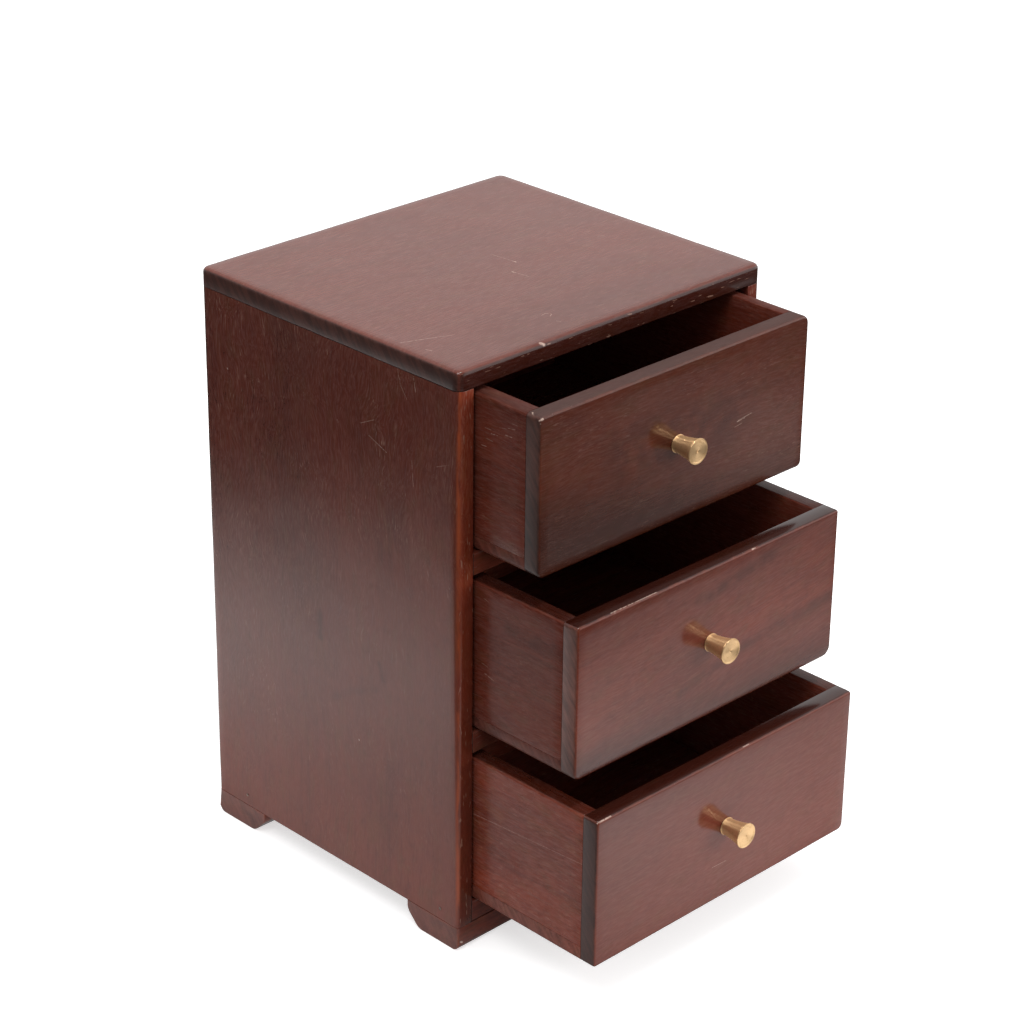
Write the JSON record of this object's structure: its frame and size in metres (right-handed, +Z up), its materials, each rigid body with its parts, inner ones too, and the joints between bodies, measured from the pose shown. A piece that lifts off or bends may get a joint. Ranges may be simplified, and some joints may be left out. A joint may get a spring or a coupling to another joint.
{
  "type": "desktop drawer chest",
  "caption": "Small free-standing wooden chest on runner feet, with inset drawers one above another, each pulled by a turned brass knob.",
  "frame": {"origin": "on the surface it stands on, midway between the two sides, and midway between the knob tip of the drawer that is furthest out and the back of the case, with the drawers as stored", "axes": "+X to the right seen from the front, +Y from the front to the back, +Z up; the drawers open towards -Y"},
  "size_m": [0.2, 0.2726, 0.3015],
  "materials": {
    "stained_wood": "dark red-brown stain under a semi-gloss lacquer, worn at the edges",
    "brass": "turned, satin, unlacquered",
    "steel": "plain bright wire and screw steel",
    "dowel_wood": "raw beech, hidden"
  },
  "bodies": {
    "case": {"top_panel": "stained_wood", "side_panel_left": "stained_wood", "side_panel_right": "stained_wood", "upper_divider": "stained_wood", "lower_divider": "stained_wood", "bottom_board": "stained_wood", "back_panel": "stained_wood", "foot_runner_front": "stained_wood", "foot_runner_rear": "stained_wood", "top_dowels": "dowel_wood", "divider_dowels": "dowel_wood", "side_pins_left": "steel", "side_pins_right": "steel", "back_pins": "steel", "foot_pins": "steel"},
    "lower_drawer": {"lower_drawer_front": "stained_wood", "lower_drawer_side_left": "stained_wood", "lower_drawer_side_right": "stained_wood", "lower_drawer_back": "stained_wood", "lower_drawer_bottom": "stained_wood", "lower_drawer_pins": "steel", "lower_drawer_knob": "brass", "lower_drawer_screw": "steel"},
    "middle_drawer": {"middle_drawer_front": "stained_wood", "middle_drawer_side_left": "stained_wood", "middle_drawer_side_right": "stained_wood", "middle_drawer_back": "stained_wood", "middle_drawer_bottom": "stained_wood", "middle_drawer_pins": "steel", "middle_drawer_knob": "brass", "middle_drawer_screw": "steel"},
    "upper_drawer": {"upper_drawer_front": "stained_wood", "upper_drawer_side_left": "stained_wood", "upper_drawer_side_right": "stained_wood", "upper_drawer_back": "stained_wood", "upper_drawer_bottom": "stained_wood", "upper_drawer_pins": "steel", "upper_drawer_knob": "brass", "upper_drawer_screw": "steel"}
  },
  "joints": [
    {"name": "lower_drawer_slide", "type": "slide", "parent": "case", "child": "lower_drawer", "axis": [0, -1, 0], "range_m": [-0.08, 0.045]},
    {"name": "middle_drawer_slide", "type": "slide", "parent": "case", "child": "middle_drawer", "axis": [0, -1, 0], "range_m": [-0.065, 0.06]},
    {"name": "upper_drawer_slide", "type": "slide", "parent": "case", "child": "upper_drawer", "axis": [0, -1, 0], "range_m": [-0.04, 0.085]}
  ]
}
